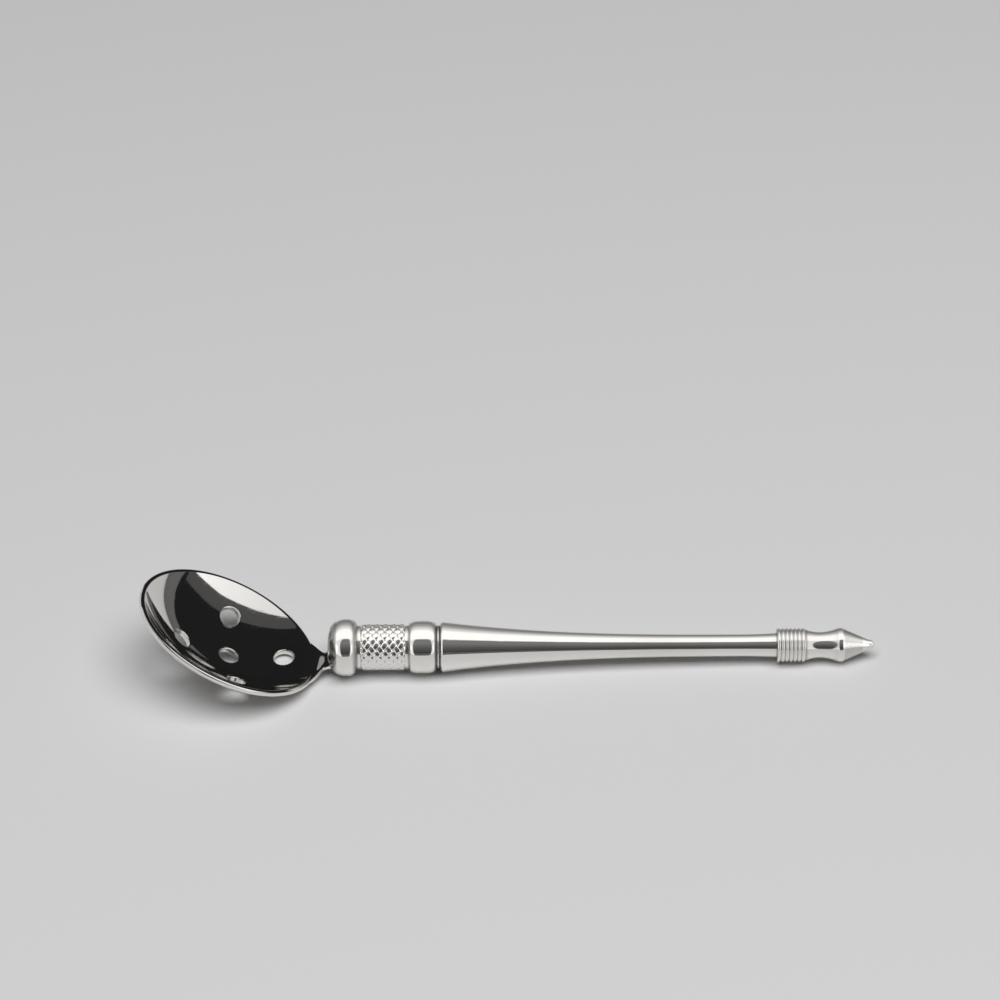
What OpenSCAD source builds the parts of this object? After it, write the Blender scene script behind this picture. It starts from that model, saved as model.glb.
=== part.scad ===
// Olive spoon: an oval drained bowl on a turned handle, cast in one piece and polished.
// It lies as it rests on a table, on the underside of its bowl and the flare of its finial.
// The spoon runs along X with its bowl at -X, and the table is at Z = 0.

/* [Bowl] */
// Length of the bowl over its rim, along the spoon
bowl_l = 52.8; // [46:0.2:58]
// Width of the bowl over its rim
bowl_w = 46.4; // [41:0.2:52]
// Depth of the hollow below the middle of the rim
bowl_depth = 8.6; // [7.4:0.1:10]
// Thickness of the bowl's wall and of its rounded rim
wall = 1.8; // [1.4:0.1:2.2]
// Angle between the rim and the handle, with the bowl's tip raised
bowl_tilt = 27.6; // [22:0.2:32]

/* [Drain holes] */
// Diameter of each drain hole
hole_d = 5.4; // [4:0.1:6]
// Width of the eased edge at both mouths of a hole
hole_edge = 0.45; // [0.2:0.05:0.6]
// Distance from one hole to the next along the bowl
hole_step_l = 14.4; // [12:0.1:15]
// Distance from one hole to the next across the bowl
hole_step_w = 12.5; // [11:0.1:13.5]
// Turn of the cross of holes against the handle
hole_turn = 8.5; // [0:0.5:12]
// Place of the middle hole, from the bowl's middle towards the handle
hole_mid_l = 3.9; // [0:0.1:4]
// Place of the middle hole across the bowl
hole_mid_w = 1.7; // [-2:0.1:2]

/* [Neck] */
// Gap between the rim and the knob, bridged by the neck
neck_l = 4.2; // [3.4:0.1:6]
// Width of the neck at the knob
neck_w = 7; // [6:0.1:9]
// Thickness of the neck at the knob
neck_t = 2.6; // [2:0.1:3.2]
// Width of the shoulders where they leave the rim
shoulder_w = 19; // [14:0.5:22]
// Drop of the neck's middle below the handle's axis
neck_drop = 4.2; // [3.8:0.1:4.8]
// Drop of the rim's end below the handle's axis
rim_drop = 6.4; // [5.8:0.1:7]

/* [Knob and ring] */
// Largest diameter of the knob beside the neck
knob_d = 15.7; // [14.6:0.1:16]
// Length of the knob
knob_l = 8; // [7.2:0.1:9.5]
// Largest diameter of the barrel ring beside the grip
ring_d = 14.5; // [13.6:0.1:15.6]
// Length of the barrel ring
ring_l = 7.4; // [6:0.1:9]

/* [Plaited collar] */
// Diameter of the plaited collar over its strands
collar_d = 12.6; // [12:0.1:13.2]
// Length of the collar between knob and ring
collar_l = 14; // [11:0.1:17]
// Width of the plain band at each end of the plait
band_l = 0.9; // [0.6:0.1:1.5]
// Number of plaited cells along the collar
cells_long = 5.5; // [4:0.5:6.5]
// Number of plaited cells around the collar
cells_round = 13; // [9:1:14]
// Height of the strands from pit to crown
plait_h = 0.8; // [0.5:0.05:1]

/* [Grip] */
// Length of the grip, from its shoulder to the finial
grip_l = 91.4; // [70:0.2:110]
// Diameter of the grip at its shoulder
grip_head_d = 13.8; // [12:0.1:14.2]
// Diameter of the grip where it is thinnest
grip_tail_d = 6.1; // [5.4:0.1:7]
// Diameter of the grip where it meets the ridges
grip_end_d = 6.7; // [6.2:0.1:7.6]
// Distance from the thinnest place to the ridges
grip_end_l = 10; // [6:0.5:16]

/* [Finial] */
// Diameter of the ridged band
ridge_d = 9.4; // [8.6:0.1:10]
// Distance from one ridge to the next
ridge_pitch = 1.1; // [0.9:0.01:1.4]
// Number of ridges
ridges = 7; // [5:1:9]
// Diameter of the waist behind the ridges
waist_d = 7.1; // [6.4:0.1:8]
// Length of the waist
waist_l = 9.2; // [7:0.1:12]
// Diameter of the flare in front of the tip
flare_d = 9.4; // [9:0.1:10.4]
// Length of the pointed tip
tip_l = 8.9; // [6.5:0.1:11]
// Diameter of the rounded end of the tip
tip_d = 2.6; // [2:0.1:3.4]

/* [Hidden] */
metal = "silver";

// Bowl: the rim's rounded edge is centred on an oval, and the wall's arcs share one middle
rim_a = (bowl_l - wall)/2;
rim_b = (bowl_w - wall)/2;
oval = bowl_w/bowl_l;
mid_depth = bowl_depth + wall/2;
wall_r = (pow(rim_a, 2) + pow(mid_depth, 2))/(2*mid_depth);
hollow_r = wall_r - wall/2;
under_r = wall_r + wall/2;
arc_z = wall_r - mid_depth;
rim_slope = asin(rim_a/wall_r);
bowl_round = 72;
bowl_steps = 9;
rim_steps = 4;
// Place of the bowl's middle against the knob's face and the handle's axis
bowl_x = -neck_l - rim_a*cos(bowl_tilt);
bowl_z = -rim_drop + rim_a*sin(bowl_tilt);

// Neck: rounded sections that run from the rim into the middle of the knob
neck_steps = 14;
neck_round = 20;
neck_end = knob_l/2;
neck_fullness = 0.65;
shoulder_share = 0.42;
drop_share = 0.6;
rim_grip = 0.94;

// Stations along the handle
knob_face_r = 0.2*knob_d;
knob_dome_r = knob_d/2 - knob_face_r;
knob_back_r = 2.4;
collar_x = knob_l;
ring_x = collar_x + collar_l;
ring_fullness = 3.2;
ring_steps = 12;
bead_x = ring_x + ring_l;
bead_l = 1.1;
bead_d = 12;
bead_inset = 0.1;
bead_round = 0.3;
grip_x = bead_x + bead_l;
grip_shoulder_r = 0.9;
grip_shoulder_turn = 150;
grip_flare = 2.7;
grip_steps = 22;
ridge_x = grip_x + grip_l;
ridge_depth = 0.3;
ridge_steps = 4;
ridge_gap = 0.08;
waist_x = ridge_x + ridges*ridge_pitch;
waist_steps = 12;
waist_place = 0.45;
waist_hollow = 1.8;
flare_x = waist_x + waist_l;
flare_l = 0.9;
tip_x = flare_x + flare_l;
end_x = tip_x + tip_l;
tip_waist = 1.05;
tip_steps = 6;
dome_steps = 4;
corner_steps = 5;

// Plait: strands of two families cross, and each goes over one and under the next
band_inset = 0.3;
core_inset = 0.5;
band_r = collar_d/2 - band_inset;
core_r = collar_d/2 - plait_h - core_inset;
plait_x = collar_x + band_l;
plait_l = collar_l - 2*band_l;
cell_samples = 6;
rows = round(cells_long*cell_samples);
columns = round(cells_round)*cell_samples;
strand_lift = 0.35;
strand_edge = 0.9;
strand_flat = 3;
plait_seat = 0.15;

// Rest: the line that touches the bowl's underside, or the knob, and the flare is level
under_mid = [bowl_x + arc_z*sin(bowl_tilt), bowl_z + arc_z*cos(bowl_tilt)];
flare_low = [tip_x, -flare_d/2];
knob_low = [knob_dome_r, -knob_d/2];
bowl_turn = asin(under_r/norm(under_mid - flare_low))
    - atan2(under_mid[1] - flare_low[1], flare_low[0] - under_mid[0]);
knob_turn = atan2(flare_low[1] - knob_low[1], flare_low[0] - knob_low[0]);
rest_turn = max(bowl_turn, knob_turn);
rest_z = -turned_z(flare_low);
bowl_tip = [bowl_x - rim_a*cos(bowl_tilt), bowl_z + rim_a*sin(bowl_tilt)];
rest_x = (wall/2 - turned_x(bowl_tip) - turned_x([end_x, 0]))/2;

function turned_x(p) = p[0]*cos(rest_turn) + p[1]*sin(rest_turn);
function turned_z(p) = p[1]*cos(rest_turn) - p[0]*sin(rest_turn);
function mix(a, b, t) = a + (b - a)*t;
// Smooth step from 0 to 1, held outside that range
function ease(t) = let (u = max(0, min(1, t))) u*u*(3 - 2*u);
// Points on an arc about a middle, from one angle to another
function arc(middle, r, from, to, steps) =
    [for (i = [0:steps]) let (t = mix(from, to, i/steps)) middle + r*[cos(t), sin(t)]];
// Power that keeps its base's sign
function swell(c, power) = sign(c)*pow(abs(c), power);

// Section of the bowl's wall: the hollow, the rounded rim and the underside
module bowl_section() {
    rim_turn = rim_slope - 90;
    polygon(concat(
        arc([0, arc_z], hollow_r, -90, rim_turn, bowl_steps),
        [for (i = [1:rim_steps - 1])
            [rim_a, 0] + wall/2*[cos(rim_turn + 180 - 180*i/rim_steps),
                                 sin(rim_turn + 180 - 180*i/rim_steps)]],
        arc([0, arc_z], under_r, rim_turn, -90, bowl_steps)));
}

// Places of the drain holes in the rim's plane: a cross of five
hole_places = [for (step = [[0, 0], [1, 0], [-1, 0], [0, 1], [0, -1]])
    let (p = [step[0]*hole_step_l, step[1]*hole_step_w])
    [hole_mid_l + p[0]*cos(hole_turn) - p[1]*sin(hole_turn),
     hole_mid_w + p[0]*sin(hole_turn) + p[1]*cos(hole_turn)]];

// One hole with eased mouths, square to the bowl's wall at its place
module hole(place) {
    across = place[1]/pow(oval, 2);
    reach = norm([place[0], place[1]/oval]);
    fall = sqrt(pow(hollow_r, 2) - pow(reach, 2));
    translate([place[0], place[1], arc_z - fall])
        rotate([0, 0, atan2(across, place[0])])
            rotate([0, -atan2(norm([place[0], across]), fall), 0]) {
                cylinder(h = 4*wall, d = hole_d, center = true, $fn = 48);
                translate([0, 0, -hole_edge])
                    cylinder(h = 3*hole_edge, d1 = hole_d, d2 = hole_d + 6*hole_edge, $fn = 48);
                translate([0, 0, -wall - 2*hole_edge])
                    cylinder(h = 3*hole_edge, d1 = hole_d + 6*hole_edge, d2 = hole_d, $fn = 48);
            }
}

module bowl() {
    translate([bowl_x, 0, bowl_z]) rotate([0, bowl_tilt, 0]) difference() {
        scale([1, oval, 1]) rotate_extrude($fn = bowl_round) bowl_section();
        for (place = hole_places) hole(place);
    }
}

// A point of the neck: s runs from the rim to the knob, t runs round the section
function neck_point(s, t) =
    let (half_w = mix(shoulder_w, neck_w, ease(s/shoulder_share))/2,
         half_t = mix(rim_grip*wall, neck_t, ease(s))/2,
         y = half_w*swell(cos(t), neck_fullness),
         a = rim_a*sqrt(1 - pow(y/rim_b, 2)),
         rim_x = bowl_x + a*cos(bowl_tilt),
         rim_z = bowl_z - a*sin(bowl_tilt))
    [mix(rim_x, neck_end, s), y,
     mix(rim_z, -neck_drop, ease(s/drop_share)) + half_t*swell(sin(t), neck_fullness)];

module neck() {
    last = neck_steps*neck_round;
    points = [for (i = [0:neck_steps], j = [0:neck_round - 1])
        neck_point(i/neck_steps, 360*j/neck_round)];
    ends = [neck_mid(0), neck_mid(1)];
    sides = [for (i = [0:neck_steps - 1], j = [0:neck_round - 1])
        let (k = (j + 1)%neck_round, n = i*neck_round)
        each [[n + k, n + j, n + neck_round + j], [n + k, n + neck_round + j, n + neck_round + k]]];
    caps = [for (j = [0:neck_round - 1]) let (k = (j + 1)%neck_round)
        each [[len(points), j, k], [len(points) + 1, last + k, last + j]]];
    polyhedron(concat(points, ends), concat(sides, caps));
}

// Middle of the neck's section
function neck_mid(s) = (neck_point(s, 90) + neck_point(s, 270))/2;

// Outline of the handle as [distance along the axis, radius], from the knob to the tip
knob_line = concat(
    [[0, 0]],
    arc([knob_dome_r, knob_face_r], knob_dome_r, 180, 90, 2*corner_steps),
    arc([knob_l - knob_back_r, knob_d/2 - knob_back_r], knob_back_r, 90,
        asin((band_r - knob_d/2 + knob_back_r)/knob_back_r), corner_steps));
collar_line = [
    [collar_x + band_l, band_r], [collar_x + band_l, core_r],
    [ring_x - band_l, core_r], [ring_x - band_l, band_r], [ring_x, band_r]];
// The barrel ring swells gently to its middle and is rounded off towards the grip
ring_line = [for (i = [0:ring_steps]) let (t = i/ring_steps, u = 2*t - 1)
    [ring_x + ring_l*t, mix(band_r, ring_d/2, sqrt(1 - pow(abs(u), ring_fullness)))]];
bead_line = [for (i = [0:corner_steps]) let (t = i/corner_steps)
    [bead_x + mix(bead_inset, bead_l - bead_inset, t), bead_d/2 - bead_round*(1 - sin(180*t))]];
grip_line = concat(
    [[grip_x, grip_head_d/2 - grip_shoulder_r]],
    arc([grip_x + grip_shoulder_r, grip_head_d/2 - grip_shoulder_r], grip_shoulder_r,
        grip_shoulder_turn, 90, corner_steps),
    [for (i = [1:grip_steps]) let (t = i/grip_steps)
        [mix(grip_x + grip_shoulder_r, ridge_x - grip_end_l, t),
         mix(grip_tail_d/2, grip_head_d/2, pow(1 - t, grip_flare))]],
    [for (i = [1:corner_steps]) let (t = i/corner_steps)
        [ridge_x - grip_end_l*(1 - t), mix(grip_tail_d/2, grip_end_d/2, t*t)]]);
ridge_line = [for (n = [0:ridges - 1], i = [0:ridge_steps]) let (t = i/ridge_steps)
    [ridge_x + (n + mix(ridge_gap/2, 1 - ridge_gap/2, t))*ridge_pitch,
     ridge_d/2 - ridge_depth*(1 - sin(180*t))]];
// The waist is one hollow curve between the ridges and the flare, thinnest before its middle
waist_line = [for (i = [0:waist_steps]) let (t = i/waist_steps)
    [waist_x + waist_l*t, mix(waist_d, mix(ridge_d, flare_d, t),
        pow(abs(t - waist_place)/(1 - waist_place), waist_hollow))/2]];
tip_line = concat(
    [[flare_x, flare_d/2], [tip_x, flare_d/2]],
    [for (i = [1:tip_steps - 1]) let (t = i/tip_steps)
        [mix(tip_x, end_x - tip_d/2, t), mix(tip_d/2, flare_d/2, pow(1 - t, tip_waist))]],
    arc([end_x - tip_d/2, 0], tip_d/2, 90, 0, dome_steps));

module turned_handle() {
    outline = concat(knob_line, collar_line, ring_line, bead_line, grip_line, ridge_line,
        waist_line, tip_line);
    rotate([0, 90, 0]) rotate_extrude($fn = 72)
        polygon([for (p = outline) [p[1], p[0]]]);
}

// Height of one family of strands, 0 to 1: u counts across the strands, v counts along them
function strand(u, v, over) =
    let (n = round(u), side = 2*(u - n))
    strand_lift*over*cos(180*(v + n)) + (1 - strand_lift)
        *sqrt(1 - strand_edge*pow(abs(side), strand_flat));
// Height of the plait at a place counted in cells along and around the collar
function plait(along, around) =
    max(strand(along + around, along - around, 1), strand(along - around, along + around, -1));
function plait_r(row, column) =
    let (seat = min(row, rows - row)/cell_samples,
         full = collar_d/2 - plait_h*(1 - plait(row/cell_samples, column/cell_samples)))
    mix(band_r - plait_seat, full, ease(3*seat));

module plaited_collar() {
    points = [for (row = [0:rows], column = [0:columns - 1])
        let (r = plait_r(row, column), t = 360*column/columns)
        [mix(plait_x - plait_seat, plait_x + plait_l + plait_seat, row/rows), r*cos(t), r*sin(t)]];
    last = rows*columns;
    sides = [for (i = [0:rows - 1], j = [0:columns - 1])
        let (k = (j + 1)%columns, n = i*columns, m = n + columns)
        each (i + j)%2 == 0 ? [[n + j, m + j, m + k], [n + j, m + k, n + k]]
                            : [[n + j, m + j, n + k], [n + k, m + j, m + k]]];
    ends = [[plait_x - plait_seat, 0, 0], [plait_x + plait_l + plait_seat, 0, 0]];
    caps = [for (j = [0:columns - 1]) let (k = (j + 1)%columns)
        each [[len(points), j, k], [len(points) + 1, last + k, last + j]]];
    polyhedron(concat(points, ends), concat(sides, caps));
}

module spoon() color(metal)
    translate([rest_x, 0, rest_z]) rotate([0, rest_turn, 0]) union() {
        bowl();
        neck();
        turned_handle();
        plaited_collar();
    }

spoon();
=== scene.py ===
"""Looks of the olive spoon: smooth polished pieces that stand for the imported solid.

The spoon's lengths are in millimetres, those of the floor, the lamps and the material's relief in
metres. The handle's frame has its axis along X, with x = 0 at the knob's face. The spoon is then
turned a little and set down, as it rests on the table.
"""

import math

import bmesh
import bpy
import numpy as np
from mathutils import Matrix, Vector


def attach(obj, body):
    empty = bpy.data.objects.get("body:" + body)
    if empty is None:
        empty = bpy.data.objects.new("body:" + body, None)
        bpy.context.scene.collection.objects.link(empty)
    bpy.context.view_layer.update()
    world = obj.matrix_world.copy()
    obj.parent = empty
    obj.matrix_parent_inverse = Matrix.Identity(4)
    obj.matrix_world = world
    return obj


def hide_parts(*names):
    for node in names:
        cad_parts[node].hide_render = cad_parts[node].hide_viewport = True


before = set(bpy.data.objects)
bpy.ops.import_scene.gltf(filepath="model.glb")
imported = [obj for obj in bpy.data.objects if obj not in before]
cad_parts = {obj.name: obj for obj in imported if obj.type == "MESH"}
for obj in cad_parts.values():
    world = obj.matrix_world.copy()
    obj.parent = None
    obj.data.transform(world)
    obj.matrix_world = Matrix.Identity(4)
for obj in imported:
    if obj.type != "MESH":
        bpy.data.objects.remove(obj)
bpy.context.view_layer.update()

# ---- Sizes ------------------------------------------------------------------------------------
# They are the construction's own, with two exceptions: the holes' edges are rounded where it has
# a bevel, and the plait's strands are flatter between the same crowns.
BOWL_L, BOWL_W, BOWL_DEPTH, WALL, BOWL_TILT = 52.8, 46.4, 8.6, 1.8, math.radians(27.6)
HOLE_D, HOLE_ROUND = 5.4, 0.5
HOLE_STEP_L, HOLE_STEP_W, HOLE_TURN = 14.4, 12.5, math.radians(8.5)
HOLE_MID_L, HOLE_MID_W = 3.9, 1.7
NECK_L, NECK_W, NECK_T, SHOULDER_W, NECK_DROP, RIM_DROP = 4.2, 7.0, 2.6, 19.0, 4.2, 6.4
NECK_FULLNESS, SHOULDER_SHARE, DROP_SHARE, RIM_GRIP = 0.65, 0.42, 0.6, 0.94
KNOB_D, KNOB_L, KNOB_BACK_R, KNOB_FACE_SHARE = 15.7, 8.0, 2.4, 0.2
COLLAR_D, COLLAR_L, BAND_L, BAND_STEP, CORE_GAP = 12.6, 14.0, 0.9, 0.3, 0.5
CELLS_LONG, CELLS_ROUND, PLAIT_H, PLAIT_SEAT = 5.5, 13, 0.8, 0.15
STRAND_LIFT, STRAND_EDGE, STRAND_FLAT = 0.2, 0.9, 5
RING_D, RING_L, RING_FULLNESS = 14.5, 7.4, 3.2
BEAD_L, BEAD_D, BEAD_GAP, BEAD_ROUND = 1.1, 12.0, 0.1, 0.3
GRIP_L, GRIP_HEAD_D, GRIP_TAIL_D, GRIP_END_D, GRIP_END_L = 91.4, 13.8, 6.1, 6.7, 10.0
GRIP_SHOULDER_R, GRIP_FLARE = 0.9, 2.7
RIDGES, RIDGE_D, RIDGE_PITCH, RIDGE_DEPTH, RIDGE_GAP = 7, 9.4, 1.1, 0.3, 0.04
WAIST_D, WAIST_L, WAIST_LOW, WAIST_POWER = 7.1, 9.2, 0.45, 1.8
FLARE_D, FLARE_L, FLARE_EDGE = 9.4, 0.9, 0.001
TIP_L, TIP_D, TIP_WAIST = 8.9, 2.6, 1.05

RIM_A, RIM_B, OVAL = (BOWL_L - WALL) / 2, (BOWL_W - WALL) / 2, BOWL_W / BOWL_L
MID_DEPTH = BOWL_DEPTH + WALL / 2
WALL_R = (RIM_A**2 + MID_DEPTH**2) / (2 * MID_DEPTH)
HOLLOW_R, UNDER_R, ARC_Z = WALL_R - WALL / 2, WALL_R + WALL / 2, WALL_R - MID_DEPTH
RIM_SLOPE = math.asin(RIM_A / WALL_R)
BOWL_X = -NECK_L - RIM_A * math.cos(BOWL_TILT)
BOWL_Z = -RIM_DROP + RIM_A * math.sin(BOWL_TILT)

KNOB_FACE_R = KNOB_FACE_SHARE * KNOB_D
KNOB_DOME_R = KNOB_D / 2 - KNOB_FACE_R
BAND_R, CORE_R = COLLAR_D / 2 - BAND_STEP, COLLAR_D / 2 - PLAIT_H - CORE_GAP
RING_X = KNOB_L + COLLAR_L
BEAD_X = RING_X + RING_L
GRIP_X = BEAD_X + BEAD_L
RIDGE_X = GRIP_X + GRIP_L
WAIST_X = RIDGE_X + RIDGES * RIDGE_PITCH
FLARE_X = WAIST_X + WAIST_L
TIP_X = FLARE_X + FLARE_L
END_X = TIP_X + TIP_L


# ---- Places in the shared frame ---------------------------------------------------------------
def rest_matrix():
    """The handle's frame at rest: the underside of the bowl and the flare touch the table."""
    mid_x = BOWL_X + ARC_Z * math.sin(BOWL_TILT)
    mid_z = BOWL_Z + ARC_Z * math.cos(BOWL_TILT)
    low_x, low_z = TIP_X, -FLARE_D / 2
    reach = math.hypot(mid_x - low_x, mid_z - low_z)
    turn = math.asin(UNDER_R / reach) - math.atan2(mid_z - low_z, low_x - mid_x)
    turned = Matrix.Rotation(turn, 4, "Y")
    low = turned @ Vector((low_x, 0, low_z))
    rim_x = BOWL_X - RIM_A * math.cos(BOWL_TILT)
    rim_z = BOWL_Z + RIM_A * math.sin(BOWL_TILT)
    bowl_tip = turned @ Vector((rim_x, 0, rim_z))
    end = turned @ Vector((END_X, 0, 0))
    return Matrix.Translation(((WALL / 2 - bowl_tip.x - end.x) / 2, 0, -low.z)) @ turned


MM = 0.001
METRES = Matrix.Scale(MM, 4)
REST = rest_matrix()
BOWL_PLACE = Matrix.Translation((BOWL_X, 0, BOWL_Z)) @ Matrix.Rotation(BOWL_TILT, 4, "Y")
X_UP = Matrix.Rotation(-math.pi / 2, 4, "Y")  # turns the axis of a revolved solid upright


# ---- Camera: fitted to the photograph's frame -------------------------------------------------
FRAME_PX, FOCAL_PX, PX_PER_MM, SENSOR_MM = 1000, 3700.0, 3.68, 36
CAMERA_PITCH, CAMERA_YAW = math.radians(35), math.radians(0.5)
AIM, AIM_DROP_PX = (46.74, 0, 0.2), 146


def add_camera():
    look = Vector((0, math.cos(CAMERA_PITCH), -math.sin(CAMERA_PITCH)))
    up = Vector((0, math.sin(CAMERA_PITCH), math.cos(CAMERA_PITCH)))
    right = Vector((1, 0, 0))
    depth = FOCAL_PX / PX_PER_MM
    eye = -look * depth + up * (depth * AIM_DROP_PX / FOCAL_PX)
    turn = Matrix.Rotation(-CAMERA_YAW, 4, "Z")
    axes = Matrix((right, up, -look)).transposed().to_4x4()
    world = REST @ Matrix.Translation(AIM) @ turn @ Matrix.Translation(eye) @ axes
    world.translation *= MM
    data = bpy.data.cameras.new("camera")
    data.sensor_width = SENSOR_MM
    data.lens = FOCAL_PX * SENSOR_MM / FRAME_PX
    data.clip_start, data.clip_end = 0.02, 30
    cam = bpy.data.objects.new("camera", data)
    bpy.context.scene.collection.objects.link(cam)
    cam.matrix_world = world
    bpy.context.scene.camera = cam


# ---- Small helpers ----------------------------------------------------------------------------
CRISP_TURN = math.radians(24)


def mix(a, b, t):
    return a + (b - a) * t


def shares(steps):
    return np.linspace(0, 1, steps + 1)


def ease(t):
    u = np.clip(t, 0, 1)
    return u * u * (3 - 2 * u)


def swell(c, power):
    return np.sign(c) * np.abs(c) ** power


def arc(cx, cy, r, start, stop, steps):
    turns = [math.radians(mix(start, stop, i / steps)) for i in range(steps + 1)]
    return [(cx + r * math.cos(t), cy + r * math.sin(t)) for t in turns]


def tube_faces(rings, around):
    """Quads between rings of `around` points that follow each other in the list of points."""
    faces = []
    for i in range(rings - 1):
        a, b = i * around, (i + 1) * around
        for j in range(around):
            k = (j + 1) % around
            faces.append((a + j, b + j, b + k, a + k))
    return faces


def closed_tube_faces(rings, around):
    last = (rings - 1) * around
    ends = [tuple(range(around)), tuple(reversed(range(last, last + around)))]
    return tube_faces(rings, around) + ends


def new_object(name, verts, faces, place):
    """A smooth mesh object with its faces turned outwards, its points put where `place` says."""
    mesh = bpy.data.meshes.new(name)
    mesh.from_pydata([tuple(v) for v in verts], [], faces)
    shell = bmesh.new()
    shell.from_mesh(mesh)
    bmesh.ops.recalc_face_normals(shell, faces=shell.faces)
    shell.to_mesh(mesh)
    shell.free()
    mesh.transform(place)
    mesh.shade_smooth()
    mesh.validate()
    obj = bpy.data.objects.new(name, mesh)
    bpy.context.scene.collection.objects.link(obj)
    return obj


def revolve(name, outline, segments, place):
    """A closed solid of revolution about X, and its rings. Its sharp turns stay crisp."""
    verts, faces, rings, crisp = [], [], [], []
    for i, (x, r) in enumerate(outline):
        if r < 1e-9:
            rings.append([len(verts)])
            verts.append((x, 0, 0))
            continue
        rings.append(list(range(len(verts), len(verts) + segments)))
        for k in range(segments):
            t = 2 * math.pi * k / segments
            verts.append((x, r * math.cos(t), r * math.sin(t)))
        if 0 < i < len(outline) - 1:
            before = math.atan2(r - outline[i - 1][1], x - outline[i - 1][0])
            after = math.atan2(outline[i + 1][1] - r, outline[i + 1][0] - x)
            if abs((after - before + math.pi) % (2 * math.pi) - math.pi) > CRISP_TURN:
                crisp.append(i)
    for a, b in zip(rings, rings[1:]):
        for k in range(segments):
            m = (k + 1) % segments
            if len(a) == 1:
                faces.append((a[0], b[m], b[k]))
            elif len(b) == 1:
                faces.append((a[k], a[m], b[0]))
            else:
                faces.append((a[k], a[m], b[m], b[k]))
    obj = new_object(name, verts, faces, place)
    owner = {v: i for i in crisp for v in rings[i]}
    for edge in obj.data.edges:
        a, b = edge.vertices
        if a in owner and owner[a] == owner.get(b):
            edge.use_edge_sharp = True
    return obj, rings


def give_pits(obj, depths):
    """How deep each vertex sits in a groove, 0 to 1: the material is duller there, and its colour
    darkens as painted shade.
    """
    pits = obj.data.attributes.new("pit", "FLOAT", "POINT")
    pits.data.foreach_set("value", np.asarray(depths, np.float32))


# ---- Bowl -------------------------------------------------------------------------------------
BOWL_SEGMENTS, WALL_STEPS, RIM_STEPS = 192, 48, 14
LIP_R = HOLE_D / 2 + HOLE_ROUND
# The spool that cuts a hole: its lips turn outwards up to this slope, then cones clear the wall.
SPOOL_SEGMENTS, LIP_STEPS, SPOOL_SLOPE = 96, 8, 14
SPOOL_REACH, SPOOL_TOP, SPOOL_FOOT = 1.2, 3.0, -4.5


def hole_frames():
    """Matrix of each drain hole in the bowl's frame: origin on the hollow, Z square to the wall."""
    frames = []
    for step_l, step_w in ((0, 0), (1, 0), (-1, 0), (0, 1), (0, -1)):
        p, q = step_l * HOLE_STEP_L, step_w * HOLE_STEP_W
        a = HOLE_MID_L + p * math.cos(HOLE_TURN) - q * math.sin(HOLE_TURN)
        b = HOLE_MID_W + p * math.sin(HOLE_TURN) + q * math.cos(HOLE_TURN)
        across = b / OVAL**2
        fall = math.sqrt(HOLLOW_R**2 - a**2 - (b / OVAL) ** 2)
        frames.append(
            Matrix.Translation((a, b, ARC_Z - fall))
            @ Matrix.Rotation(math.atan2(across, a), 4, "Z")
            @ Matrix.Rotation(-math.atan2(math.hypot(a, across), fall), 4, "Y")
        )
    return frames


def wall_normal(p):
    """Exact normal of the bowl's wall or rim at a point of it, in the bowl's frame."""
    x, y, z = p.x, p.y / OVAL, p.z
    reach = math.hypot(x, y)
    down = ARC_Z - z
    if math.atan2(reach, down) > RIM_SLOPE:
        out = reach - RIM_A
        n = Vector((out * x / reach, out * y / reach / OVAL, z))
    else:
        n = Vector((x, y / OVAL, z - ARC_Z))
        if math.hypot(reach, down) < WALL_R:
            n = -n
    return n.normalized()


def hole_normal(p, lips):
    """Exact normal of a hole's wall and its rounded edges, in the hole's frame."""
    reach = math.hypot(p.x, p.y)
    top, foot = lips
    z = p.z - top if p.z > top else min(p.z - foot, 0)
    out = reach - LIP_R
    return Vector((out * p.x / reach, out * p.y / reach, z)).normalized()


def bowl_outline():
    """Half section of the bowl without holes, as (height, radius) along its length."""
    section = [(math.sin(t), -math.cos(t)) for t in np.linspace(0, RIM_SLOPE, WALL_STEPS + 1)]
    hollow = [(HOLLOW_R * s, ARC_Z + HOLLOW_R * c) for s, c in section]
    under = [(UNDER_R * s, ARC_Z + UNDER_R * c) for s, c in reversed(section)]
    lean = math.degrees(RIM_SLOPE) - 90
    rim = arc(RIM_A, 0, WALL / 2, lean + 180, lean, RIM_STEPS)[1:-1]
    return [(z, r) for r, z in hollow + rim + under]


def spool_outline(lips):
    """Half section of the spool that cuts a hole with rounded edges, as (height, radius)."""
    top, foot = lips
    far = LIP_R + SPOOL_REACH
    rise = SPOOL_REACH * math.tan(math.radians(SPOOL_SLOPE))
    up_lip = arc(LIP_R, top, HOLE_ROUND, 90 + SPOOL_SLOPE, 180, LIP_STEPS)
    down_lip = arc(LIP_R, foot, HOLE_ROUND, 180, 270 - SPOOL_SLOPE, LIP_STEPS)
    line = [(0, SPOOL_TOP), (far, SPOOL_TOP), (far, up_lip[0][1] + rise)] + up_lip
    line += down_lip + [(far, down_lip[-1][1] - rise), (far, SPOOL_FOOT), (0, SPOOL_FOOT)]
    return [(z, r) for r, z in line]


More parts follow.
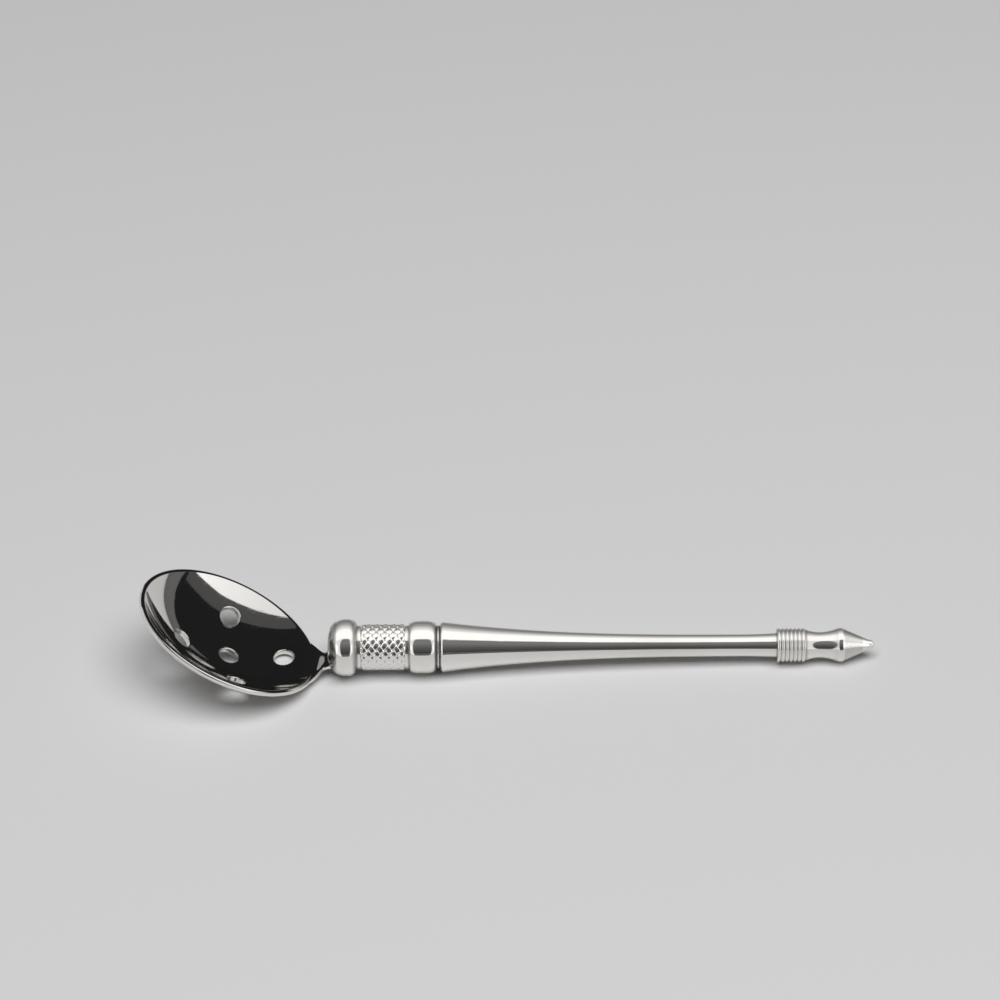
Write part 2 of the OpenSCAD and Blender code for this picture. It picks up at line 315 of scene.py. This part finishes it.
def cut_holes(bowl, frames, lips):
    """Cuts a spool out of the bowl at each frame. The cut faces get material index 1."""
    spool = spool_outline(lips)
    cutters = [revolve("cutter", spool, SPOOL_SEGMENTS, place @ X_UP)[0] for place in frames]
    for obj in [bowl] + cutters:
        obj.data.materials.append(None)
        obj.data.materials.append(None)
    for cutter in cutters:
        for poly in cutter.data.polygons:
            poly.material_index = 1
        cut = bowl.modifiers.new("cut", "BOOLEAN")
        cut.operation = "DIFFERENCE"
        cut.solver = "EXACT"
        cut.object = cutter
    solved = bowl.evaluated_get(bpy.context.evaluated_depsgraph_get())
    done = bpy.data.meshes.new_from_object(solved)
    bowl.modifiers.clear()
    bowl.data = done
    for cutter in cutters:
        bpy.data.objects.remove(cutter)


def exact_normals(mesh, frames, lips):
    """Normal of each face corner, from the surface that the face was cut from."""
    inverse = [m.inverted() for m in frames]
    turns = [m.to_3x3() for m in frames]
    normals = [None] * len(mesh.loops)
    for poly in mesh.polygons:
        hole = None
        if poly.material_index == 1:
            spots = [m @ poly.center for m in inverse]
            hole = min(range(len(spots)), key=lambda n: math.hypot(spots[n].x, spots[n].y))
        for loop in poly.loop_indices:
            p = mesh.vertices[mesh.loops[loop].vertex_index].co
            if hole is None:
                normals[loop] = wall_normal(p)
            else:
                normals[loop] = turns[hole] @ hole_normal(inverse[hole] @ p, lips)
    return normals


def make_bowl():
    stretch = Matrix.Diagonal((1, OVAL, 1, 1))
    bowl, _ = revolve("bowl", bowl_outline(), BOWL_SEGMENTS, stretch @ X_UP)
    sag = LIP_R**2 / 2
    # Heights from which the rounded edges are drawn, on the hollow and on the underside.
    lips = sag / HOLLOW_R - HOLE_ROUND, sag / UNDER_R - WALL + HOLE_ROUND
    frames = hole_frames()
    cut_holes(bowl, frames, lips)
    mesh = bowl.data
    normals = exact_normals(mesh, frames, lips)
    for poly in mesh.polygons:
        poly.material_index = 0
    mesh.materials.clear()
    place = REST @ BOWL_PLACE
    mesh.transform(METRES @ place)
    mesh.shade_smooth()
    turn = place.to_3x3()
    mesh.normals_split_custom_set([turn @ n for n in normals])
    give_pits(bowl, np.zeros(len(mesh.vertices)))
    return bowl


# ---- Neck -------------------------------------------------------------------------------------
NECK_STEPS, NECK_AROUND = 56, 96


def neck_point(s, t):
    """Point of the neck at share s of its way from the rim to the knob, and at angle t round it."""
    half_w = mix(SHOULDER_W, NECK_W, ease(s / SHOULDER_SHARE)) / 2
    half_t = mix(RIM_GRIP * WALL, NECK_T, ease(s)) / 2
    y = half_w * swell(math.cos(t), NECK_FULLNESS)
    a = RIM_A * math.sqrt(1 - (y / RIM_B) ** 2)
    rim_x = BOWL_X + a * math.cos(BOWL_TILT)
    rim_z = BOWL_Z - a * math.sin(BOWL_TILT)
    drop_z = mix(rim_z, -NECK_DROP, ease(s / DROP_SHARE))
    return mix(rim_x, KNOB_L / 2, s), y, drop_z + half_t * swell(math.sin(t), NECK_FULLNESS)


def make_neck():
    verts = [
        neck_point(i / NECK_STEPS, 2 * math.pi * j / NECK_AROUND)
        for i in range(NECK_STEPS + 1)
        for j in range(NECK_AROUND)
    ]
    faces = closed_tube_faces(NECK_STEPS + 1, NECK_AROUND)
    neck = new_object("neck", verts, faces, METRES @ REST)
    give_pits(neck, np.zeros(len(neck.data.vertices)))
    return neck


# ---- Turned handle ----------------------------------------------------------------------------
HANDLE_SEGMENTS = 128
KNOB_STEPS, BACK_STEPS, RING_STEPS, BEAD_STEPS, SHOULDER_STEPS = 24, 12, 48, 10, 8
TAPER_STEPS, SWELL_STEPS, RIDGE_STEPS, WAIST_STEPS, CONE_STEPS, TIP_STEPS = 60, 12, 10, 36, 14, 10
# A ring is in a groove as far as it lies below the highest one within CREST_REACH of it. The
# knob's face and the tip have no grooves.
CREST_REACH, FULL_PIT, PLAIN_FACE, PLAIN_TIP = 0.56, 0.36, 0.5, 3


def knob_outline():
    start = [(0, 0)] + arc(KNOB_DOME_R, KNOB_FACE_R, KNOB_DOME_R, 180, 90, KNOB_STEPS)
    back_z = KNOB_D / 2 - KNOB_BACK_R
    last = math.degrees(math.asin((BAND_R - back_z) / KNOB_BACK_R))
    return start + arc(KNOB_L - KNOB_BACK_R, back_z, KNOB_BACK_R, 90, last, BACK_STEPS)


def collar_seat_outline():
    near, far = KNOB_L + BAND_L, RING_X - BAND_L
    return [(near, BAND_R), (near, CORE_R), (far, CORE_R), (far, BAND_R), (RING_X, BAND_R)]


def ring_outline():
    line = []
    for u in np.sin(np.linspace(-math.pi / 2, math.pi / 2, RING_STEPS + 1))[1:]:
        full = math.sqrt(max(0, 1 - abs(u) ** RING_FULLNESS))
        line.append((RING_X + RING_L * (u + 1) / 2, mix(BAND_R, RING_D / 2, full)))
    return line


def bead_outline():
    line = []
    for t in shares(BEAD_STEPS):
        x = BEAD_X + BEAD_GAP + (BEAD_L - 2 * BEAD_GAP) * t
        line.append((x, BEAD_D / 2 - BEAD_ROUND * (1 - math.sin(math.pi * t))))
    return line


def grip_outline():
    head_r, tail_r, end_r = GRIP_HEAD_D / 2, GRIP_TAIL_D / 2, GRIP_END_D / 2
    taper_x, end_x = GRIP_X + GRIP_SHOULDER_R, RIDGE_X - GRIP_END_L
    line = [(GRIP_X, head_r - GRIP_SHOULDER_R)]
    line += arc(taper_x, head_r - GRIP_SHOULDER_R, GRIP_SHOULDER_R, 150, 90, SHOULDER_STEPS)
    for t in shares(TAPER_STEPS)[1:]:
        line.append((mix(taper_x, end_x, t), mix(tail_r, head_r, (1 - t) ** GRIP_FLARE)))
    for t in shares(SWELL_STEPS)[1:]:
        line.append((mix(end_x, RIDGE_X, t), mix(tail_r, end_r, t * t)))
    return line


def finial_outline():
    line = []
    for n in range(RIDGES):
        for t in shares(RIDGE_STEPS):
            r = RIDGE_D / 2 - RIDGE_DEPTH * (1 - math.sin(math.pi * t))
            line.append((RIDGE_X + (n + mix(RIDGE_GAP, 1 - RIDGE_GAP, t)) * RIDGE_PITCH, r))
    for t in shares(WAIST_STEPS):
        height = (mix(RIDGE_D, FLARE_D, t) - WAIST_D) / 2
        off = abs(t - WAIST_LOW) / (1 - WAIST_LOW)
        line.append((WAIST_X + WAIST_L * t, WAIST_D / 2 + height * off**WAIST_POWER))
    line += [(FLARE_X + FLARE_EDGE, FLARE_D / 2), (TIP_X, FLARE_D / 2)]
    round_x = END_X - TIP_D / 2
    for t in shares(CONE_STEPS)[1:-1]:
        line.append((mix(TIP_X, round_x, t), mix(TIP_D / 2, FLARE_D / 2, (1 - t) ** TIP_WAIST)))
    return line + arc(round_x, 0, TIP_D / 2, 90, 0, TIP_STEPS)[:-1] + [(END_X, 0)]


def make_handle():
    outline = knob_outline() + collar_seat_outline() + ring_outline() + bead_outline()
    outline += grip_outline() + finial_outline()
    handle, rings = revolve("turned_handle", outline, HANDLE_SEGMENTS, METRES @ REST)
    xs, rs = np.array(outline).T
    pits = np.zeros(len(handle.data.vertices))
    for ring, x, r in zip(rings, xs, rs):
        if PLAIN_FACE < x < END_X - PLAIN_TIP:
            crest = rs[np.abs(xs - x) < CREST_REACH].max()
            pits[ring] = min(1, max(0, crest - r) / FULL_PIT)
    # The groove depth dulls the metal and paints shade into its colour.
    give_pits(handle, pits)
    return handle


# ---- Plaited collar ---------------------------------------------------------------------------
CELL_SAMPLES, SEAT_CELLS, GROOVE_GAIN = 24, 1 / 3, 1.15


def strand(u, v, over):
    """Height of a family of strands: rounded across u, and over and under the other along v."""
    n = np.round(u)
    side = 2 * (u - n)
    crown = np.sqrt(1 - STRAND_EDGE * np.abs(side) ** STRAND_FLAT)
    return STRAND_LIFT * over * np.cos(np.pi * (v + n)) + (1 - STRAND_LIFT) * crown


def plait(along, around):
    up, down = along + around, along - around
    return np.maximum(strand(up, down, 1), strand(down, up, -1))


def make_collar():
    rows, columns = int(CELLS_LONG * CELL_SAMPLES), CELLS_ROUND * CELL_SAMPLES
    row = np.arange(rows + 1)[:, None]
    column = np.arange(columns)[None, :]
    height = plait(row / CELL_SAMPLES, column / CELL_SAMPLES)
    seat = ease(np.minimum(row, rows - row) / (SEAT_CELLS * CELL_SAMPLES))
    r = mix(BAND_R - PLAIT_SEAT, COLLAR_D / 2 - PLAIT_H * (1 - height), seat)
    turn = 2 * np.pi * column / columns
    near, far = KNOB_L + BAND_L - PLAIT_SEAT, RING_X - BAND_L + PLAIT_SEAT
    x = mix(near, far, row / rows) + 0 * column
    verts = np.stack([x, r * np.cos(turn), r * np.sin(turn)], -1).reshape(-1, 3)
    faces = closed_tube_faces(rows + 1, columns)
    collar = new_object("plaited_collar", verts, faces, METRES @ REST)
    # The depth between the strands dulls the metal and paints shade into its colour.
    give_pits(collar, np.clip(GROOVE_GAIN * (1 - height), 0, 1).reshape(-1))
    return collar


# ---- Material: mirror-polished metal with fine wear and painted shade in its grooves ----------
BRIGHT, SOFT = (0.875, 0.86, 0.83, 1), (0.81, 0.79, 0.755, 1)
# The third colour is painted shade, a near-black laid into the grooves.
GROOVE_SHADE = (0.1, 0.098, 0.095, 1)
WAVE_HEIGHT, HAIR_HEIGHT = 0.00006, 0.000004


def polished_metal():
    mat = bpy.data.materials.new("polished_metal")
    mat.use_nodes = True
    nodes, links = mat.node_tree.nodes, mat.node_tree.links
    shader = nodes["Principled BSDF"]
    shader.inputs["Metallic"].default_value = 1.0
    where = nodes.new("ShaderNodeTexCoord").outputs["Object"]

    def noise(scale, detail, stretch=(1, 1, 1)):
        place = nodes.new("ShaderNodeMapping")
        place.inputs["Scale"].default_value = stretch
        links.new(where, place.inputs["Vector"])
        tex = nodes.new("ShaderNodeTexNoise")
        tex.inputs["Scale"].default_value = scale
        tex.inputs["Detail"].default_value = detail
        links.new(place.outputs["Vector"], tex.inputs["Vector"])
        return tex.outputs["Fac"]

    def ramp(value, source, result):
        node = nodes.new("ShaderNodeMapRange")
        names = "From Min", "From Max", "To Min", "To Max"
        for name, number in zip(names, source + result):
            node.inputs[name].default_value = number
        links.new(value, node.inputs["Value"])
        return node.outputs["Result"]

    def add(a, b):
        node = nodes.new("ShaderNodeMath")
        links.new(a, node.inputs[0])
        links.new(b, node.inputs[1])
        return node.outputs["Value"]

    def blend(a, b, factor):
        node = nodes.new("ShaderNodeMix")
        node.data_type = "RGBA"
        node.inputs["B"].default_value = b
        if isinstance(a, tuple):
            node.inputs["A"].default_value = a
        else:
            links.new(a, node.inputs["A"])
        links.new(factor, node.inputs["Factor"])
        return node.outputs["Result"]

    def bump(height, distance, normal=None):
        node = nodes.new("ShaderNodeBump")
        node.inputs["Strength"].default_value = 1
        node.inputs["Distance"].default_value = distance
        links.new(height, node.inputs["Height"])
        if normal is not None:
            links.new(normal, node.inputs["Normal"])
        return node.outputs["Normal"]

    # Roughness: soft smudges, duller grooves, and hairlines along and across the handle.
    smudge = ramp(noise(70, 4), (0.35, 0.7), (0.028, 0.07))
    hair_along = ramp(noise(55, 2, (3, 70, 70)), (0.6, 0.72), (0, 0.13))
    hair_across = ramp(noise(48, 2, (60, 4, 60)), (0.62, 0.74), (0, 0.11))
    hairs = add(hair_along, hair_across)
    pit = nodes.new("ShaderNodeAttribute")
    pit.attribute_name = "pit"
    dull = ramp(pit.outputs["Fac"], (0.25, 1), (0, 0.22))
    links.new(add(add(smudge, dull), hairs), shader.inputs["Roughness"])

    # Colour: slightly warm silver in two close tones, with painted shade in the grooves.
    tone = blend(BRIGHT, SOFT, ramp(noise(40, 3), (0.35, 0.7), (0, 1)))
    # Painted shade: the deeper a groove, the darker its colour.
    depth = ramp(pit.outputs["Fac"], (0.45, 1), (0, 0.6))
    links.new(blend(tone, GROOVE_SHADE, depth), shader.inputs["Base Color"])

    # Relief: the long low wave of hand polishing under the hairlines.
    wave = bump(noise(110, 1), WAVE_HEIGHT)
    links.new(bump(hairs, HAIR_HEIGHT, wave), shader.inputs["Normal"])
    return mat


# ---- Floor and world --------------------------------------------------------------------------
FLOOR_DISC_R, FLOOR_FLAT_R, FLOOR_CURB_R, FLOOR_WALL_Z = 1.2, 4.4, 0.4, 0.8
FLOOR_SEGMENTS, CURB_STEPS = 96, 12
FLOOR_COLOR = (0.8, 0.8, 0.805, 1)
WORLD_COLOR = (0.014, 0.014, 0.0145, 1)


def add_floor():
    """A plain round floor whose edge curves up far from the spoon."""
    outline = [(FLOOR_DISC_R, 0), (FLOOR_FLAT_R, 0)]
    outline += arc(FLOOR_FLAT_R, FLOOR_CURB_R, FLOOR_CURB_R, -90, 0, CURB_STEPS)[1:]
    outline.append((FLOOR_FLAT_R + FLOOR_CURB_R, FLOOR_WALL_Z))
    turns = [2 * math.pi * k / FLOOR_SEGMENTS for k in range(FLOOR_SEGMENTS)]
    verts = [(r * math.cos(t), r * math.sin(t), z) for r, z in outline for t in turns]
    faces = tube_faces(len(outline), FLOOR_SEGMENTS) + [tuple(range(FLOOR_SEGMENTS))]
    mesh = bpy.data.meshes.new("floor")
    mesh.from_pydata(verts, [], faces)
    mesh.shade_smooth()
    floor = bpy.data.objects.new("floor", mesh)
    bpy.context.scene.collection.objects.link(floor)
    mat = bpy.data.materials.new("floor")
    mat.use_nodes = True
    shader = mat.node_tree.nodes["Principled BSDF"]
    shader.inputs["Base Color"].default_value = FLOOR_COLOR
    shader.inputs["Roughness"].default_value = 0.9
    shader.inputs["Specular IOR Level"].default_value = 0.2
    mesh.materials.append(mat)
    return floor


def add_world():
    world = bpy.data.worlds.new("world")
    world.use_nodes = True
    back = world.node_tree.nodes["Background"]
    back.inputs["Color"].default_value = WORLD_COLOR
    back.inputs["Strength"].default_value = 1
    bpy.context.scene.world = world


# ---- Lamps ------------------------------------------------------------------------------------
# Polished metal shows what is round it, so the studio is a tent of lamps that the camera doesn't
# see. Each is given by a corner, its edges along and across, and its radiance.
TENT_X, TENT_FRONT_Y, TENT_EAVE_Y, TENT_BACK_Y = 2.4, -1.95, -0.45, 3.95
TENT_LOW_Z, TENT_HIGH_Z = 0.02, 1.45
TENT_W, TENT_L, TENT_H = 2 * TENT_X, TENT_BACK_Y - TENT_FRONT_Y, TENT_HIGH_Z - TENT_LOW_Z
KEY_CORNER, KEY_EDGE = (-0.62, -0.33, 2.22), (2.73, -0.25, -1.78)
LOW_CORNER = (-TENT_X, -0.6, TENT_LOW_Z)
LEFT_CORNER, RIGHT_CORNER = (-TENT_X, TENT_FRONT_Y, TENT_LOW_Z), (TENT_X, TENT_FRONT_Y, TENT_LOW_Z)
EAVE_CORNER, BACK_CORNER = (-TENT_X, TENT_EAVE_Y, TENT_HIGH_Z), (-TENT_X, TENT_BACK_Y, TENT_HIGH_Z)
LAMPS = {
    "key": (KEY_CORNER, KEY_EDGE, (-0.33, -1.42, -0.30), 1.15),
    "key_frame": (KEY_CORNER, KEY_EDGE, (0.10, 0.43, 0.09), 0.06),
    "fill": ((-1.1, -1.6, 2.0), (2.6, 0, 0), (0, 1.7, 0.5), 3.9),
    "high_left": ((-2.2, -1.2, 1.0), (0, 2.6, 0), (1.1, 0, 1.1), 0.35),
    "low_left": (LOW_CORNER, (1.2, 3.4, 0), (0.2, -0.1, 1.2), 0.55),
    "low_front": (LOW_CORNER, (1.9, -1.9, 0), (0, 0, 1.0), 0.5),
    "ceiling": (EAVE_CORNER, (TENT_W, 0, 0), (0, TENT_BACK_Y - TENT_EAVE_Y, 0), 1.18),
    "back": (BACK_CORNER, (TENT_W, 0, 0), (0, 0.4, -1.2), 0.2),
    "front": (LEFT_CORNER, (TENT_W, 0, 0), (0, TENT_EAVE_Y - TENT_FRONT_Y, TENT_H), 0.85),
    "left": (LEFT_CORNER, (0, TENT_L, 0), (0, 0, TENT_H), 0.8),
    "right": (RIGHT_CORNER, (0, TENT_L, 0), (0, 0, TENT_H), 0.8),
}
# Brightness of a cloth from one edge to the other: (share of the way, level).
KEY_GLOW = (0, 0.62), (0.5, 0.8), (1, 1)
CEILING_GLOW = (0, 1), (0.23, 1), (0.3, 0.72), (0.44, 0.45), (0.55, 0.3), (1, 0.18)
WINDOW_GLOW = (0, 0.035), (0.25, 0.045), (0.5, 0.1), (0.78, 0.23), (1, 0.2)
SIDE_GLOW = (0, 1), (0.4, 0.9), (1, 0.25)
# The dark opening in the front cloth: middle and half size as shares, roundness and soft edge.
WINDOW_MIDDLE, WINDOW_HALF, WINDOW_POWER = (0.505, 0.44), (0.182, 0.53), 2.7
WINDOW_EDGE = 0.85, 1.2


def add_softbox(name, corner, along, across, radiance):
    """A rectangular lamp given by one corner and its two edges, lit on the side of the spoon."""
    corner, along, across = Vector(corner), Vector(along), Vector(across)
    data = bpy.data.lights.new(name, "AREA")
    data.shape = "RECTANGLE"
    data.size, data.size_y = along.length, across.length
    data.energy = radiance * math.pi * along.length * across.length
    lamp = bpy.data.objects.new(name, data)
    bpy.context.scene.collection.objects.link(lamp)
    middle = corner + along / 2 + across / 2
    x = along.normalized()
    z = x.cross(across).normalized()
    if z.dot(middle) < 0:
        z = -z
    y = z.cross(x)
    lamp.matrix_world = Matrix.Translation(middle) @ Matrix((x, y, z)).transposed().to_4x4()
    lamp.visible_camera = False
    return lamp


class Cloth:
    """The nodes of a lamp's front cloth, from the shares along its two edges to its strength."""

    def __init__(self, lamp):
        lamp.data.use_nodes = True
        self.nodes, self.links = lamp.data.node_tree.nodes, lamp.data.node_tree.links
        place = self.nodes.new("ShaderNodeNewGeometry").outputs["Parametric"]
        split = self.nodes.new("ShaderNodeSeparateXYZ")
        self.links.new(place, split.inputs["Vector"])
        self.along, self.across = split.outputs["X"], split.outputs["Y"]

    def compute(self, operation, a, b=0.0):
        node = self.nodes.new("ShaderNodeMath")
        node.operation = operation
        for socket, value in zip(node.inputs, (a, b)):
            if isinstance(value, float):
                socket.default_value = value
            else:
                self.links.new(value, socket)
        return node.outputs["Value"]

    def fade(self, share, stops):
        ramp = self.nodes.new("ShaderNodeValToRGB")
        points = ramp.color_ramp.elements
        while len(points) < len(stops):
            points.new(0.5)
        for point, (place, _) in zip(points, stops):
            point.position = place
        for point, (_, level) in zip(points, stops):
            point.color = (level, level, level, 1)
        self.links.new(share, ramp.inputs["Fac"])
        return ramp.outputs["Color"]

    def window(self, inside):
        """A rounded opening, `inside` bright in it and 1 round it."""
        reach = []
        for share, middle, half in zip((self.along, self.across), WINDOW_MIDDLE, WINDOW_HALF):
            off = self.compute("ABSOLUTE", self.compute("SUBTRACT", share, middle))
            reach.append(self.compute("POWER", self.compute("DIVIDE", off, half), WINDOW_POWER))
        edge = self.nodes.new("ShaderNodeMapRange")
        edge.interpolation_type = "SMOOTHSTEP"
        edge.inputs["From Min"].default_value, edge.inputs["From Max"].default_value = WINDOW_EDGE
        self.links.new(self.compute("ADD", *reach), edge.inputs["Value"])
        outside = edge.outputs["Result"]
        within = self.compute("MULTIPLY", self.compute("SUBTRACT", 1.0, outside), inside)
        return self.compute("ADD", outside, within)

    def glow(self, strength):
        self.links.new(strength, self.nodes["Emission"].inputs["Strength"])


def light_only(lamps, objects):
    """These lamps reach only these objects, as flags and shades do in a studio."""
    lit = bpy.data.collections.new("lit")
    for obj in objects:
        lit.objects.link(obj)
    for lamp in lamps:
        lamp.light_linking.receiver_collection = lit


# ---- The scene --------------------------------------------------------------------------------
add_camera()
floor = add_floor()
add_world()
lamps = [add_softbox(name, *LAMPS[name]) for name in LAMPS]
key, key_frame, fill, high_left, low_left, low_front, ceiling, back, front, left, right = lamps

for lamp, stops in ((key, KEY_GLOW), (left, SIDE_GLOW), (right, SIDE_GLOW)):
    cloth = Cloth(lamp)
    cloth.glow(cloth.fade(cloth.along, stops))
cloth = Cloth(ceiling)
cloth.glow(cloth.fade(cloth.across, CEILING_GLOW))
cloth = Cloth(front)
cloth.glow(cloth.window(cloth.fade(cloth.across, WINDOW_GLOW)))

metal = polished_metal()
bowl, neck, handle, collar = make_bowl(), make_neck(), make_handle(), make_collar()
# The key and its dim frame are the bright lens in the hollow. Three weak lamps light the bowl's
# rim and underside. The tent itself is for the handle and the collar, whose dark band mirrors the
# opening in its front cloth.
light_only((key, key_frame), (bowl, neck))
light_only((high_left, low_left, low_front), (bowl,))
light_only((fill,), (floor,))
light_only((ceiling, back, front, left, right), (handle, collar))
for piece in (bowl, neck, handle, collar):
    piece.data.materials.append(metal)
    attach(piece, "root")
    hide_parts("spoon")

view_settings = bpy.context.scene.view_settings
view_settings.view_transform = "Standard"
